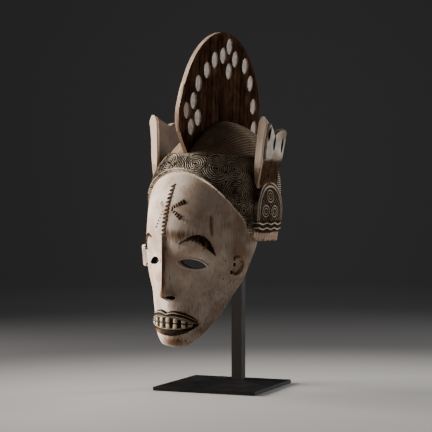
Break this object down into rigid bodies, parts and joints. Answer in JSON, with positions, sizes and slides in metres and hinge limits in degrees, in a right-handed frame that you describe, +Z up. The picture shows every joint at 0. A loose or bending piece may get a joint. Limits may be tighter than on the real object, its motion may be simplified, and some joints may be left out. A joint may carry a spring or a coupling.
{
  "type": "helmet mask on a stand",
  "caption": "Carved wooden maiden-spirit helmet mask with a long pale face, dark banded hair, tall disc crest and side fins, held on a square post over a flat steel plate.",
  "frame": {"origin": "middle of the underside of the base plate", "axes": "+Z up, X and Y along the sides of the base plate; the face looks towards -Y, turned 13 degrees about Z towards -X"},
  "size_m": [0.2378, 0.2505, 0.583],
  "materials": {
    "mask": "carved light hardwood under white kaolin and dark pigment, matt, worn",
    "stand_plate": "black, satin",
    "stand_post": "dark brown patina, satin",
    "stand_cradle": "black, satin"
  },
  "bodies": {
    "root": {"stand_plate": "stand_plate", "stand_post": "stand_post", "stand_cradle": "stand_cradle", "mask": "mask"}
  },
  "joints": []
}
